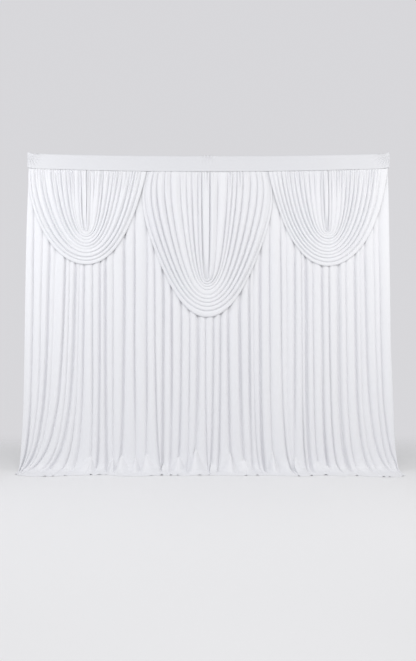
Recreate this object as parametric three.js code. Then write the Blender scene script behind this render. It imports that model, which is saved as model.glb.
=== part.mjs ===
// Swagged drapery backdrop: a rod-pocket heading, one gathered curtain and three swags.
// Millimetres, +Z up, front towards -Y. The origin is the middle of the heading's top edge.
import * as THREE from "three";

// Driving sizes
const WIDTH = 3000; // heading, end to end
const FLOOR_Z = -2612; // floor, below the middle of the heading's top edge
const HEADING_CLOTH = 2; // thickness of the heading's walls
const CURTAIN_CLOTH = 3; // front to back, so about 1.2 on the steep sides of a fold
const SWAG_CLOTH = 2.5; // front to back
const SEWN_GAP = 0.4; // between a cloth's top and the seam that holds it
const CLOTH_COLOUR = 0xeeeff4;
const CLOTH_ROUGHNESS = 0.78;

// Heading: a round-topped pocket with a slot along its lower edge for the gathered tops
const POCKET_DEPTH = 36; // front to back
const HEADING_HEIGHT = 135; // at the middle
const TOP_RISE = 19; // how much higher the top edge is at the ends
const LOWER_RISE = 27; // how much higher the lower edge is at the ends
const EAR_RISE = 12; // extra rise of the top corners
const LIP_RISE = 7; // extra rise of the lower corners
const EAR_REACH = 70; // length of a raised corner
const SLOT_DEPTH = 10;
const HEADING_BAYS = 20; // straight stretches between the raised corners
const EAR_STATIONS = [0, 0.35, 0.7]; // sections in a raised corner, as shares of its length
const ARC_STEPS = 6; // steps over the round top

// Curtain creases from left to right: place at mid-height, depth behind the crests, and how far
// the fold leans sideways by the time it reaches the floor
const CREASES = table(["x", "depth", "lean"], [
  [-1460, 24, -75],
  [-1335, 42, -160],
  [-1210, 36, -170],
  [-1115, 48, -140],
  [-1035, 36, -55],
  [-960, 22, -15],
  [-900, 38, -30],
  [-850, 46, 10],
  [-790, 20, -10],
  [-700, 48, -40],
  [-610, 34, 10],
  [-510, 38, -30],
  [-445, 32, -40],
  [-375, 48, -10],
  [-305, 42, -20],
  [-225, 38, -20],
  [-155, 20, 0],
  [-85, 54, -25],
  [-25, 24, 20],
  [40, 40, -15],
  [100, 32, 5],
  [165, 38, 25],
  [260, 50, 35],
  [340, 42, 15],
  [430, 48, 15],
  [510, 30, 30],
  [605, 22, 35],
  [715, 40, 5],
  [805, 52, -5],
  [870, 20, 20],
  [945, 38, 35],
  [1005, 26, 60],
  [1080, 56, 60],
  [1220, 40, 85],
  [1310, 36, 115],
  [1430, 22, 90],
]);
const CREASE_REACH = 26; // how far a crease's slope runs into the fold beside it
const CREST_BULGE = 0.13; // rise of a fold's crest, as a share of its width
const CREASE_STEP = 0.5; // where a slope is sampled, as a share of its reach
const SLOPE_LEFT = (1 - CREASE_STEP) ** 2; // depth that is left there

const SEAM_HEIGHT = SLOT_DEPTH - HEADING_HEIGHT - SEWN_GAP - FLOOR_Z; // the tops, at the middle

// Curtain from the seam to the hem: height above the floor, forward of the hanging plane, place of
// the crests, share of the folds' depth, share of the lean, and the two side edges
const HANG = table(["height", "forward", "crest", "fold", "lean", "left", "right"], [
  [SEAM_HEIGHT, 0, 6, 0.08, -0.25, -1492, 1492],
  [2400, 0, 5, 0.28, -0.24, -1496, 1494],
  [2180, 0, 2, 0.62, -0.2, -1504, 1498],
  [1880, 0, -9, 0.9, -0.14, -1512, 1502],
  [1450, 0, -18, 1, -0.06, -1519, 1508],
  [1080, 0, -20, 1, 0, -1525, 1513],
  [600, 0, -20, 1, 0.2, -1533, 1533],
  [300, 0, -20, 0.95, 0.53, -1547, 1542],
  [150, 4, -20, 0.8, 0.8, -1558, 1553],
  [70, 22, -15, 0.5, 0.97, -1563, 1563],
  [25, 62, -9, 0.28, 1, -1564, 1568],
  [7, 118, -5, 0.15, 1, -1562, 1571],
  [4, 190, -1, 0.08, 1, -1560, 1574],
]);
const SEAM_ROWS = 3; // rows that still follow the sag of the heading
// Hem on the floor: how far forward it lies, at places across the width
const HEM = table(["x", "forward"], [
  [-1570, 125],
  [-1330, 265],
  [-1000, 190],
  [-620, 185],
  [-200, 196],
  [230, 188],
  [640, 202],
  [1020, 215],
  [1400, 285],
  [1580, 100],
]);

// Swags: a row for each crease from the middle outwards, the last row being the hem. Left and right
// are where it leaves the seam, drop is where it crosses the middle, and depth is the relief share of
// the fold that follows it
const SIDE_COLUMNS = ["left", "right", "drop", "depth"];
const SWAGS = [
  {
    name: "swag_left",
    middle: -1010,
    relief: 17,
    seat: -7,
    stand: 50,
    round: { left: 1, right: 0.1 },
    swell: { left: 0.04, right: 0 },
    tuck: 0,
    folds: table(SIDE_COLUMNS, [
      [5, 5, 490, 0.7],
      [30, 30, 510, 1.1],
      [65, 65, 530, 0.8],
      [100, 115, 560, 0.6],
      [145, 160, 585, 0.9],
      [180, 200, 610, 0.9],
      [220, 250, 640, 1],
      [260, 300, 665, 1],
      [285, 340, 690, 0.9],
      [325, 375, 715, 1],
      [375, 405, 735, 0.9],
      [415, 440, 755, 1.1],
      [455, 470, 775, 0.8],
      [480, 500, 795, 0],
    ]),
  },
  {
    name: "swag_centre",
    middle: -8,
    relief: 22,
    seat: 0.5,
    stand: 62,
    round: { left: 1, right: 1 },
    swell: { left: 0.1, right: 0.09 },
    tuck: 0.6,
    folds: table(SIDE_COLUMNS, [
      [5, 5, 880, 0.6],
      [40, 40, 900, 0.8],
      [80, 80, 920, 1],
      [120, 110, 945, 0.9],
      [150, 145, 970, 1],
      [190, 175, 995, 1.1],
      [230, 220, 1020, 1],
      [260, 250, 1045, 1.1],
      [305, 300, 1070, 1],
      [350, 340, 1095, 1],
      [390, 380, 1125, 1.1],
      [430, 420, 1155, 1],
      [485, 460, 1185, 0.9],
      [520, 495, 1220, 0],
    ]),
  },
  {
    name: "swag_right",
    middle: 988,
    relief: 17,
    seat: -7,
    stand: 50,
    round: { left: 0.35, right: 1 },
    swell: { left: 0, right: 0 },
    tuck: 0,
    folds: table(SIDE_COLUMNS, [
      [5, 5, 490, 0.8],
      [35, 30, 515, 1.1],
      [75, 60, 535, 0.7],
      [115, 100, 565, 0.8],
      [160, 145, 590, 1],
      [200, 180, 615, 0.9],
      [230, 210, 640, 1],
      [275, 255, 665, 1.1],
      [310, 295, 690, 1],
      [355, 335, 715, 1],
      [395, 380, 740, 0.9],
      [440, 420, 765, 1.1],
      [480, 460, 785, 0.8],
      [495, 500, 805, 0],
    ]),
  },
];
const SWAG_STEPS = 9; // steps down each half of a swag's curve
const HEART = { half: 2, drop: 14 }; // the short curve that closes a swag at the middle of its seam
const RIDGE_PLACE = 0.52; // place of a ridge between two creases
const RIDGE_DROOP = 5; // how far a ridge hangs over the crease below it at the middle
// Relief and stand-off of a swag by the distance below its seam, as shares
const SWAG_FALL = table(["below", "relief", "stand"], [
  [0, 0.34, 0],
  [60, 0.62, 0.12],
  [150, 0.9, 0.3],
  [300, 1, 0.52],
  [600, 1, 0.78],
  [900, 1, 0.92],
  [1300, 1, 1],
]);
const SWELL_PEAK = 27 / 4; // makes a swell's largest value, two thirds of the way up, equal to 1
const TUCK_BELOW = 330; // a tucked edge stays behind its neighbour this far below the seam
const TUCK_FADE = 300; // and comes forward over this further distance
const TUCK_FROM = 0.75; // share of the half-width where the tuck starts
const TUCK_FULL = 0.9; // and where it is whole

// Tables and easing
function table(columns, values) {
  return values.map((row) => Object.fromEntries(columns.map((column, i) => [column, row[i]])));
}

function ease(t) {
  const u = Math.min(1, Math.max(0, t));
  return u * u * (3 - 2 * u);
}

// Reads a column of a table at a place along its key, straight between the rows
function read(rows, key, column, at) {
  const next = rows.findIndex((row) => row[key] >= at);
  if (next === -1) return rows[rows.length - 1][column];
  if (next === 0) return rows[0][column];
  const from = rows[next - 1];
  const to = rows[next];
  const share = (at - from[key]) / (to[key] - from[key]);
  return THREE.MathUtils.lerp(from[column], to[column], share);
}

// Edges of the heading, by the place across the width
function cornerShare(x) {
  const inward = WIDTH / 2 - Math.abs(x);
  return ease(1 - inward / EAR_REACH);
}

function headingTop(x) {
  return TOP_RISE * ((2 * x) / WIDTH) ** 2 + EAR_RISE * cornerShare(x);
}

function slotTop(x) {
  return LOWER_RISE * ((2 * x) / WIDTH) ** 2 - HEADING_HEIGHT + SLOT_DEPTH;
}

function headingLow(x) {
  return slotTop(x) - SLOT_DEPTH + LIP_RISE * cornerShare(x);
}

// Height of the tops that are sewn into the slot
function seamTop(x) {
  return slotTop(x) - SEWN_GAP;
}

// A closed body from its points and the triangles between them
function bodyGeometry(points, triangles) {
  const geometry = new THREE.BufferGeometry();
  const positions = points.flatMap((point) => [point.x, point.y, point.z]);
  geometry.setAttribute("position", new THREE.Float32BufferAttribute(positions, 3));
  geometry.setIndex(triangles.flat());
  geometry.computeVertexNormals();
  return geometry;
}

// A sheet of cloth: its front points in rows from the top down, each row from left to right, and the
// same points moved back through the cloth
function sheetGeometry(front, back) {
  const rows = front.length;
  const columns = front[0].length;
  const count = rows * columns;
  const triangles = [];
  const quad = (a, b, c, d) => triangles.push([a, b, c], [a, c, d]);
  const at = (row, column) => row * columns + column;
  for (let row = 0; row + 1 < rows; row += 1) {
    for (let column = 0; column + 1 < columns; column += 1) {
      const [a, b] = [at(row, column), at(row + 1, column)];
      quad(a, b, b + 1, a + 1);
      quad(a + count, a + 1 + count, b + 1 + count, b + count); // same diagonal as the front
    }
  }
  for (let column = 0; column + 1 < columns; column += 1) {
    const top = [at(0, column), at(0, column + 1)];
    const hem = [at(rows - 1, column), at(rows - 1, column + 1)];
    quad(top[0], top[1], top[1] + count, top[0] + count);
    quad(hem[1], hem[0], hem[0] + count, hem[1] + count);
  }
  for (let row = 0; row + 1 < rows; row += 1) {
    const left = [at(row, 0), at(row + 1, 0)];
    const right = [at(row, columns - 1), at(row + 1, columns - 1)];
    quad(left[1], left[0], left[0] + count, left[1] + count);
    quad(right[0], right[1], right[1] + count, right[0] + count);
  }
  return bodyGeometry([...front.flat(), ...back.flat()], triangles);
}

// Heading
function headingSection(x) {
  const top = headingTop(x);
  const low = headingLow(x);
  const outer = POCKET_DEPTH / 2;
  const inner = outer - HEADING_CLOTH;
  const crown = top - outer;
  const web = slotTop(x);
  const bottom = web + HEADING_CLOTH;
  const over = (radius, step) => {
    const angle = Math.PI * (1 - step / ARC_STEPS);
    return [radius * Math.cos(angle), crown + radius * Math.sin(angle)];
  };
  const steps = Array.from({ length: ARC_STEPS + 1 }, (_, step) => step);
  const skin = [[-outer, low], ...steps.map((step) => over(outer, step)), [outer, low]];
  const slot = [[inner, low], [inner, web], [-inner, web], [-inner, low]];
  const pocket = [[-inner, bottom], ...steps.map((step) => over(inner, step)), [inner, bottom]];
  return { outside: [...skin, ...slot], pocket };
}

function headingStations() {
  const end = WIDTH / 2;
  const left = EAR_STATIONS.map((share) => share * EAR_REACH - end);
  const span = WIDTH - 2 * EAR_REACH;
  const bays = Array.from({ length: HEADING_BAYS + 1 }, (_, bay) => bay / HEADING_BAYS);
  const middle = bays.map((share) => EAR_REACH - end + span * share);
  return [...left, ...middle, ...left.map((x) => -x).reverse()];
}

function headingGeometry() {
  const points = [];
  const triangles = [];
  const stations = headingStations();
  const sections = stations.map(headingSection);
  const rim = sections[0].outside.length;
  const hole = sections[0].pocket.length;
  const ring = rim + hole;
  sections.forEach(({ outside, pocket }, i) => {
    [...outside, ...pocket].forEach(([y, z]) => points.push(new THREE.Vector3(stations[i], y, z)));
  });
  const wall = (a, b, c, d) => triangles.push([a, b, c], [a, c, d]);
  for (let i = 0; i + 1 < stations.length; i += 1) {
    const here = i * ring;
    const next = here + ring;
    for (let k = 0; k < rim; k += 1) {
      const l = (k + 1) % rim;
      wall(here + k, next + k, next + l, here + l);
    }
    for (let k = 0; k < hole; k += 1) {
      const l = (k + 1) % hole;
      wall(here + rim + l, next + rim + l, next + rim + k, here + rim + k);
    }
  }
  const flat = (loop) => loop.map(([y, z]) => new THREE.Vector2(y, z));
  const cap = THREE.ShapeUtils.triangulateShape(flat(sections[0].outside), [flat(sections[0].pocket)]);
  const last = (stations.length - 1) * ring;
  cap.forEach(([a, b, c]) => {
    triangles.push([c, b, a]);
    triangles.push([last + a, last + b, last + c]);
  });
  return bodyGeometry(points, triangles);
}

// Curtain: its columns are the creases, a point on each side of them, and the crest of each fold
function curtainColumns() {
  const edge = { depth: 0, lean: 0 };
  const lines = [{ ...edge, side: "left" }, ...CREASES, { ...edge, side: "right" }];
  const columns = [];
  for (let i = 0; i + 1 < lines.length; i += 1) {
    const ends = [lines[i], lines[i + 1]];
    columns.push({ ends, kind: "crease" });
    if (!lines[i].side) columns.push({ ends, kind: "after" });
    columns.push({ ends, kind: "crest" });
    if (!lines[i + 1].side) columns.push({ ends, kind: "before" });
  }
  const last = lines.length - 1;
  columns.push({ ends: [lines[last], lines[last - 1]], kind: "crease" });
  return columns;
}

function creasePlace(line, row) {
  return line.side ? row[line.side] : line.x + line.lean * row.lean;
}

// Place across the width and distance behind the crest line of one column on one row
function foldPoint({ ends, kind }, row) {
  const [from, to] = ends.map((line) => creasePlace(line, row));
  const width = Math.abs(to - from);
  const reach = Math.min(CREASE_REACH, 0.5 * width) * CREASE_STEP;
  const bulge = CREST_BULGE * width;
  const share = reach / width;
  const shoulder = bulge * (1 - (1 - 2 * share) ** 2);
  const shapes = {
    crease: [from, ends[0].depth],
    after: [from + reach, ends[0].depth * SLOPE_LEFT - shoulder],
    crest: [(from + to) / 2, -bulge],
    before: [to - reach, ends[1].depth * SLOPE_LEFT - shoulder],
  };
  const [x, behind] = shapes[kind];
  return { x, behind: behind * row.fold };
}

// Direction out of the front of the cloth on one row, square to the hanging line
function hangNormal(i) {
  const above = HANG[Math.max(0, i - 1)];
  const below = HANG[Math.min(HANG.length - 1, i + 1)];
  const down = new THREE.Vector2(above.forward - below.forward, below.height - above.height).normalize();
  return new THREE.Vector3(0, down.y, -down.x);
}

function curtainGeometry() {
  const columns = curtainColumns();
  const floorForward = HANG[HANG.length - 1].forward;
  const front = [];
  const back = [];
  HANG.forEach((row, i) => {
    const normal = hangNormal(i);
    const frontRow = [];
    const backRow = [];
    columns.forEach((column) => {
      const { x, behind } = foldPoint(column, row);
      const sag = (seamTop(x) - seamTop(0)) * Math.max(0, 1 - i / SEAM_ROWS);
      const spread = read(HEM, "x", "forward", x) / floorForward;
      const place = new THREE.Vector3(x, row.crest - row.forward * spread, FLOOR_Z + row.height + sag);
      place.addScaledVector(normal, -behind);
      place.z = Math.max(place.z, FLOOR_Z + CURTAIN_CLOTH);
      const through = place.clone().addScaledVector(normal, -CURTAIN_CLOTH);
      through.z = Math.max(through.z, FLOOR_Z);
      frontRow.push(place);
      backRow.push(through);
    });
    front.push(frontRow);
    back.push(backRow);
  });
  return sheetGeometry(front, back);
}

// Swags
// Half-span of a hanging chain in units of its own curve, from its drop over its half-span
function chainSpan(slope) {
  let low = 0.01;
  let high = 12;
  for (let halving = 0; halving < 50; halving += 1) {
    const span = (low + high) / 2;
    if (Math.cosh(span) - 1 < slope * span) low = span;
    else high = span;
  }
  return low;
}

// Half-width of a curve at a share of its height: from a hanging chain to a round bowl, with a swell
function curveWidth(half, drop, round, swell, rise) {
  const span = chainSpan(drop / half);
  const chain = Math.acosh(1 + rise * (Math.cosh(span) - 1)) / span;
  const bowl = Math.sqrt(rise * (2 - rise));
  const bulge = SWELL_PEAK * rise * rise * (1 - rise);
  return half * (THREE.MathUtils.lerp(chain, bowl, round) + swell * bulge);
}

// The rows of a swag from its heart to its hem: creases with a ridge between each two
function swagRows({ folds }) {
  const rows = [{ left: HEART.half, right: HEART.half, drop: HEART.drop, ridge: 0 }];
  folds.forEach((fold, i) => {
    rows.push({ ...fold, ridge: 0 });
    const next = folds[i + 1];
    if (!next) return;
    const between = (column) => THREE.MathUtils.lerp(fold[column], next[column], RIDGE_PLACE);
    rows.push({ left: between("left"), right: between("right"), drop: between("drop"), ridge: fold.depth });
  });
  return rows;
}

function swagPoint(swag, row, step) {
  const side = step < 0 ? "left" : "right";
  const sign = step < 0 ? -1 : 1;
  const rise = step * step;
  const hem = swag.folds[swag.folds.length - 1];
  const outward = row[side] / hem[side];
  const round = swag.round[side] * outward;
  const swell = swag.swell[side] * outward ** 2;
  const width = curveWidth(row[side], row.drop, round, swell, rise);
  const start = seamTop(swag.middle + sign * row[side]);
  const lowest = seamTop(swag.middle) - row.drop;
  const below = (start - lowest) * (1 - rise);
  const droop = RIDGE_DROOP * row.ridge * (1 - rise) ** 2;
  const x = swag.middle + sign * width;
  const z = THREE.MathUtils.lerp(lowest, start, rise) - droop;
  const fade = 1 - ease((below - TUCK_BELOW) / TUCK_FADE);
  const tucked = ease((outward - TUCK_FROM) / (TUCK_FULL - TUCK_FROM));
  const held = 1 - swag.tuck * fade * tucked;
  const stand = swag.stand * read(SWAG_FALL, "below", "stand", below);
  const ridge = swag.relief * row.ridge * read(SWAG_FALL, "below", "relief", below);
  return new THREE.Vector3(x, swag.seat - (stand + ridge) * held, z);
}

function swagGeometry(swag) {
  const steps = Array.from({ length: 2 * SWAG_STEPS + 1 }, (_, i) => i / SWAG_STEPS - 1);
  const front = swagRows(swag).map((row) => steps.map((step) => swagPoint(swag, row, step)));
  const through = new THREE.Vector3(0, SWAG_CLOTH, 0);
  const back = front.map((points) => points.map((point) => point.clone().add(through)));
  return sheetGeometry(front, back);
}

// Assembly
function clothMesh(name, geometry) {
  const material = new THREE.MeshStandardMaterial({
    color: CLOTH_COLOUR,
    roughness: CLOTH_ROUGHNESS,
    metalness: 0,
    side: THREE.DoubleSide,
  });
  const mesh = new THREE.Mesh(geometry, material);
  mesh.name = name;
  return mesh;
}

const backdrop = new THREE.Group();
backdrop.name = "swagged_drapery_backdrop";
backdrop.add(clothMesh("heading", headingGeometry()));
backdrop.add(clothMesh("curtain", curtainGeometry()));
SWAGS.forEach((swag) => backdrop.add(clothMesh(swag.name, swagGeometry(swag))));

export default backdrop;
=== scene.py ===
"""Swagged drapery backdrop: a rod-pocket heading, one gathered curtain, three swags and a pale studio."""

import bisect
import math

import bmesh
import bpy
from bpy.props import FloatProperty, FloatVectorProperty, PointerProperty
from bpy.types import Operator, Panel, PropertyGroup
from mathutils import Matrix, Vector, noise
from mathutils.bvhtree import BVHTree
from mathutils.kdtree import KDTree


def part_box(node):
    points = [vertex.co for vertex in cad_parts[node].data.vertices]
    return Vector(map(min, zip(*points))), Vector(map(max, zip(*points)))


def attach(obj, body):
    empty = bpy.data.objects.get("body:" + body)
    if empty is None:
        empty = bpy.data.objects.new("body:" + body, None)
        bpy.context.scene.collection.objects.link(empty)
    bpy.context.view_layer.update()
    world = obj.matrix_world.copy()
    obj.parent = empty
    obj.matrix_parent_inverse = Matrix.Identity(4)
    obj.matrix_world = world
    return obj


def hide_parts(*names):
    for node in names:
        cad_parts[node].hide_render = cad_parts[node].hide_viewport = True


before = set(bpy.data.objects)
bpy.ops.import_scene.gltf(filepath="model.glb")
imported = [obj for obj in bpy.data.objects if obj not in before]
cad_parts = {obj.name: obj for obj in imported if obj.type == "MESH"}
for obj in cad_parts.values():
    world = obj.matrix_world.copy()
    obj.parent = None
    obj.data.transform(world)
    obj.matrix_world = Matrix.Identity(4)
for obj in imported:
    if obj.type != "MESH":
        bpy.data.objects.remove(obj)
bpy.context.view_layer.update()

bl_info = {
    "name": "Swagged drapery backdrop",
    "version": (1, 0, 0),
    "blender": (4, 5, 0),
    "location": "3D View > Sidebar > Drapery",
    "description": "Builds a rod-pocket backdrop with a gathered curtain and three swags",
    "category": "Add Mesh",
}


# Tables and easing
def table(columns, *rows):
    """Rows of values under named columns."""
    return [dict(zip(columns, row)) for row in rows]


def column(rows, name):
    """One column of a table."""
    return [row[name] for row in rows]


def clamp(value, low=0.0, high=1.0):
    """The value kept between two limits."""
    return min(high, max(low, value))


def mix(start, end, share):
    """The value at a share of the way from start to end."""
    return start + (end - start) * share


def ease(share):
    """A share that starts and ends gently."""
    share = clamp(share)
    return share * share * (3 - 2 * share)


def bell(away, width):
    """1 at no distance, fading towards 0 past the width."""
    return math.exp(-((away / width) ** 2))


def steady_slopes(keys, values):
    """Slopes of a smooth curve that never swings past its points."""
    rises = []
    for i in range(len(keys) - 1):
        rises.append((values[i + 1] - values[i]) / (keys[i + 1] - keys[i]))
    slopes = [rises[0]]
    for before, after in zip(rises, rises[1:]):
        if before * after <= 0:
            slopes.append(0.0)
        else:
            slopes.append(2 * before * after / (before + after))
    slopes.append(rises[-1])
    return slopes


def smooth_curve(keys, values):
    """A function that reads a smooth curve through the points."""
    slopes = steady_slopes(keys, values)

    def read(at):
        if at <= keys[0]:
            return values[0]
        if at >= keys[-1]:
            return values[-1]
        i = bisect.bisect_right(keys, at) - 1
        span = keys[i + 1] - keys[i]
        t = (at - keys[i]) / span
        start = values[i] * (1 + 2 * t) * (1 - t) ** 2 + slopes[i] * span * t * (1 - t) ** 2
        end = values[i + 1] * t * t * (3 - 2 * t) - slopes[i + 1] * span * t * t * (1 - t)
        return start + end

    return read


def smooth_columns(rows, key):
    """A smooth curve for each column of a table, by the key column."""
    keys = column(rows, key)
    return {name: smooth_curve(keys, column(rows, name)) for name in rows[0] if name != key}


def waver(*place):
    """Smooth noise from about -1 to 1 at a place."""
    return noise.noise(Vector((place + (0.0, 0.0))[:3]))


# Heading sizes, as in the part's solids
HALF_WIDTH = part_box("heading")[1].x
FLOOR_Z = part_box("curtain")[0].z
HEADING_HEIGHT = 0.135
TOP_RISE = 0.019
LOWER_RISE = 0.027
EAR_RISE = 0.012
LIP_RISE = 0.007
EAR_REACH = 0.070
SLOT_DEPTH = 0.010
SEWN_GAP = 0.0004
POLE_RADIUS = 0.018
# Heading's mesh, and heights of its cut: from lip to lip, with the web, and where the web lies on it
HEADING_COLUMNS = 620
HEADING_ROWS = 64
HEADING_CUT = 0.31
WEB_CUT = 0.4
# Web that closes the pocket: its columns, half its width from front to back, and its rise over the slot
WEB_COLUMNS = 60
WEB_HALF = 0.016
WEB_RISE = 0.0024
# Soft unevenness of the heading: height, features a metre along it and down it, and place in the noise
HEADING_NOISE = table(("height", "along", "down", "seed"), (0.0011, 3.2, 7, 0), (0.0005, 14, 20, 3))
# Where the noise of the heading's back starts, so that it differs from the front
BACK_SEED = 40.0
# Puckers along the lower seam, as shares of the setting, and the height over which they fade
SEAM_PUCKERS = table(("share", "along", "seed"), (1.0, 48, 9), (0.5, 110, 4))
PUCKER_FADE = 0.020
# Hollow between the pole and the seam: its depth, and where it starts below the top and over the edge
HOLLOW = {"depth": 0.0022, "drop": 0.030, "above": 0.010}
# Bead along the lower edge: its height, the place of its crest over the edge, and half its width
BEAD = {"height": 0.0014, "above": 0.001, "half": 0.009}
# Wrinkles that fan out from the top corners: distance and width of their band, how closely they follow
# each other, how far past the end they meet, and how far and how often they stray
FAN = {"away": 0.085, "width": 0.050, "close": 30, "past": 0.004, "stray": 3, "along": 5}
# Crumpled spot at the middle of the top: its place, width and rise, and height and pitch of its puckers
MIDDLE = {"x": -0.004, "width": 0.058, "rise": 0.0055, "pucker": 0.0060, "pitch": 0.027}


def corner_share(x):
    """1 at the heading's ends, fading to 0 past the raised corner."""
    return ease(1 - (HALF_WIDTH - abs(x)) / EAR_REACH)


def heading_top(x):
    """Height of the heading's top edge."""
    return TOP_RISE * (x / HALF_WIDTH) ** 2 + EAR_RISE * corner_share(x)


def slot_top(x):
    """Height of the web between the two layers, which the gathered tops are sewn under."""
    return LOWER_RISE * (x / HALF_WIDTH) ** 2 - HEADING_HEIGHT + SLOT_DEPTH


def heading_low(x):
    """Height of the heading's lower edge."""
    return slot_top(x) - SLOT_DEPTH + LIP_RISE * corner_share(x)


def seam_top(x):
    """Height of the tops that are sewn into the heading."""
    return slot_top(x) - SEWN_GAP


# Curtain tables
# Creases from left to right: place at mid-height, depth behind the crests, the share of that depth left
# near the floor, how far the crease leans sideways by the time it reaches the floor, the height at which
# it opens into a flare, and the share of that flare on its right
CREASES = table(
    ("x", "depth", "low", "lean", "flare", "side"),
    (-1.460, 0.024, 1.9, -0.075, 0.00, 0.5),
    (-1.392, 0.010, 1.0, -0.125, 0.00, 0.5),
    (-1.335, 0.042, 0.9, -0.150, 0.00, 0.5),
    (-1.290, 0.007, 1.0, -0.165, 0.00, 0.5),
    (-1.210, 0.036, 0.8, -0.200, 0.00, 0.5),
    (-1.165, 0.008, 1.0, -0.155, 0.00, 0.5),
    (-1.115, 0.048, 0.8, -0.160, 0.00, 0.5),
    (-1.078, 0.008, 2.6, -0.100, 0.00, 0.5),
    (-1.035, 0.036, 0.8, -0.065, 0.00, 0.5),
    (-0.960, 0.022, 0.3, -0.015, 0.12, 0.5),
    (-0.900, 0.038, 1.1, -0.020, 0.05, 0.9),
    (-0.850, 0.046, 0.9, 0.010, 0.00, 0.5),
    (-0.790, 0.020, 0.4, 0.000, 0.11, 0.1),
    (-0.700, 0.048, 0.7, -0.032, 0.14, 0.9),
    (-0.610, 0.034, 0.3, 0.010, 0.12, 0.5),
    (-0.510, 0.038, 0.3, -0.010, 0.14, 0.5),
    (-0.442, 0.032, 0.9, 0.040, 0.00, 0.5),
    (-0.375, 0.048, 1.0, -0.005, 0.06, 0.5),
    (-0.305, 0.042, 0.6, -0.010, 0.00, 0.5),
    (-0.225, 0.040, 0.9, -0.026, 0.13, 0.9),
    (-0.155, 0.020, 0.5, -0.020, 0.00, 0.5),
    (-0.085, 0.054, 0.5, -0.034, 0.19, 0.8),
    (-0.025, 0.024, 0.9, 0.018, 0.00, 0.5),
    (0.040, 0.040, 0.9, -0.022, 0.07, 1.0),
    (0.100, 0.038, 0.9, -0.018, 0.00, 0.5),
    (0.165, 0.042, 0.7, 0.024, 0.16, 0.0),
    (0.260, 0.050, 0.6, 0.040, 0.10, 0.1),
    (0.340, 0.042, 0.6, 0.022, 0.00, 0.5),
    (0.374, 0.008, 2.4, 0.042, 0.00, 0.5),
    (0.430, 0.050, 1.0, 0.028, 0.00, 0.5),
    (0.510, 0.030, 0.7, 0.034, 0.16, 0.0),
    (0.605, 0.026, 1.2, 0.056, 0.09, 0.0),
    (0.652, 0.007, 0.6, 0.040, 0.00, 0.5),
    (0.715, 0.040, 0.3, -0.005, 0.11, 0.6),
    (0.775, 0.014, 2.6, 0.032, 0.00, 0.5),
    (0.810, 0.052, 0.8, 0.034, 0.00, 0.5),
    (0.870, 0.020, 0.8, 0.036, 0.08, 0.5),
    (0.945, 0.042, 1.3, 0.040, 0.06, 0.5),
    (1.005, 0.026, 1.0, 0.055, 0.07, 0.0),
    (1.080, 0.056, 0.9, 0.066, 0.00, 0.5),
    (1.142, 0.010, 1.0, 0.070, 0.00, 0.5),
    (1.220, 0.042, 0.9, 0.090, 0.00, 0.5),
    (1.262, 0.008, 1.0, 0.100, 0.00, 0.5),
    (1.310, 0.036, 0.6, 0.135, 0.00, 0.5),
    (1.384, 0.010, 1.4, 0.105, 0.00, 0.5),
    (1.430, 0.024, 0.9, 0.118, 0.00, 0.5),
)
# Depth of a usual crease, and height of the seam over the floor at the middle
USUAL_DEPTH = 0.040
SEAM_HEIGHT = seam_top(0) - FLOOR_Z
# Curtain from the seam down: height above the floor, how far the crests stand forward, the share of a
# crease's depth, the share of the lean, and the side edges
HANG = table(
    ("height", "forward", "back", "lean", "left", "right"),
    (SEAM_HEIGHT, -0.006, 0.08, -0.25, -1.492, 1.492),
    (2.400, 0.002, 0.28, -0.24, -1.496, 1.494),
    (2.180, 0.008, 0.62, -0.20, -1.504, 1.498),
    (1.880, 0.013, 0.90, -0.14, -1.512, 1.502),
    (1.450, 0.018, 1.00, -0.06, -1.519, 1.508),
    (1.080, 0.020, 1.00, 0.00, -1.525, 1.513),
    (0.600, 0.020, 1.00, 0.16, -1.533, 1.533),
    (0.300, 0.020, 1.00, 0.44, -1.547, 1.542),
    (0.200, 0.021, 1.00, 0.60, -1.553, 1.549),
    (0.150, 0.022, 1.00, 0.71, -1.556, 1.553),
    (0.110, 0.024, 1.00, 0.83, -1.559, 1.557),
    (0.075, 0.028, 1.00, 0.95, -1.561, 1.561),
    (0.048, 0.034, 0.98, 1.07, -1.562, 1.564),
    (0.029, 0.044, 0.92, 1.18, -1.563, 1.567),
    (0.0175, 0.060, 0.80, 1.29, -1.563, 1.569),
    (0.010, 0.088, 0.56, 1.42, -1.563, 1.571),
    (0.005, 0.140, 0.26, 1.60, -1.562, 1.573),
    (0.0018, 0.240, 0.00, 1.85, -1.560, 1.574),
)
# Heights below which the creases change to their depth near the floor and to the foot's open depth, and
# the distances over which they do so
LOW = {"height": 0.75, "over": 0.6}
FOOT = {"height": 0.34, "over": 0.22}
# Distance below the seam at which the creases are free to change, how much their depth changes, and how
# far their slopes lean to one side
FREE_DOWN = 0.5
DEPTH_CHANGE = 0.22
SKEW_MOST = 0.45
# Flares: slope of the cloth below the opening, distance over which the crease is gone, how far forward
# the cloth lies where a flare begins to flatten, and the least share of a fold beside its point
FLARE = {"slope": 0.7, "fade": 0.03, "forward": 0.05, "least": 0.17}
# Small gathers under the heading: their pitch, how far they stray, and where and how fast they fade
CURTAIN_GATHERS = {"pitch": 0.031, "stray": 3, "start": 0.02, "fade": 0.35}
# How much the height of a fold's crest changes
CREST_CHANGE = 0.004
# Noise of the curtain: features for each crease, fold or metre across and each metre down, and its place
CURTAIN_NOISE = {
    "stray": {"across": 7.31, "down": 1.3, "seed": 0},
    "depth": {"across": 3.7, "down": 0.9, "seed": 11},
    "skew": {"across": 5.9, "down": 0.35, "seed": 23},
    "crest": {"across": 9, "down": 0.8, "seed": 31},
    "tilt": {"across": 6.7, "down": 0.4, "seed": 43},
    "gathers": {"across": 11, "down": 2, "seed": 0},
}
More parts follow.
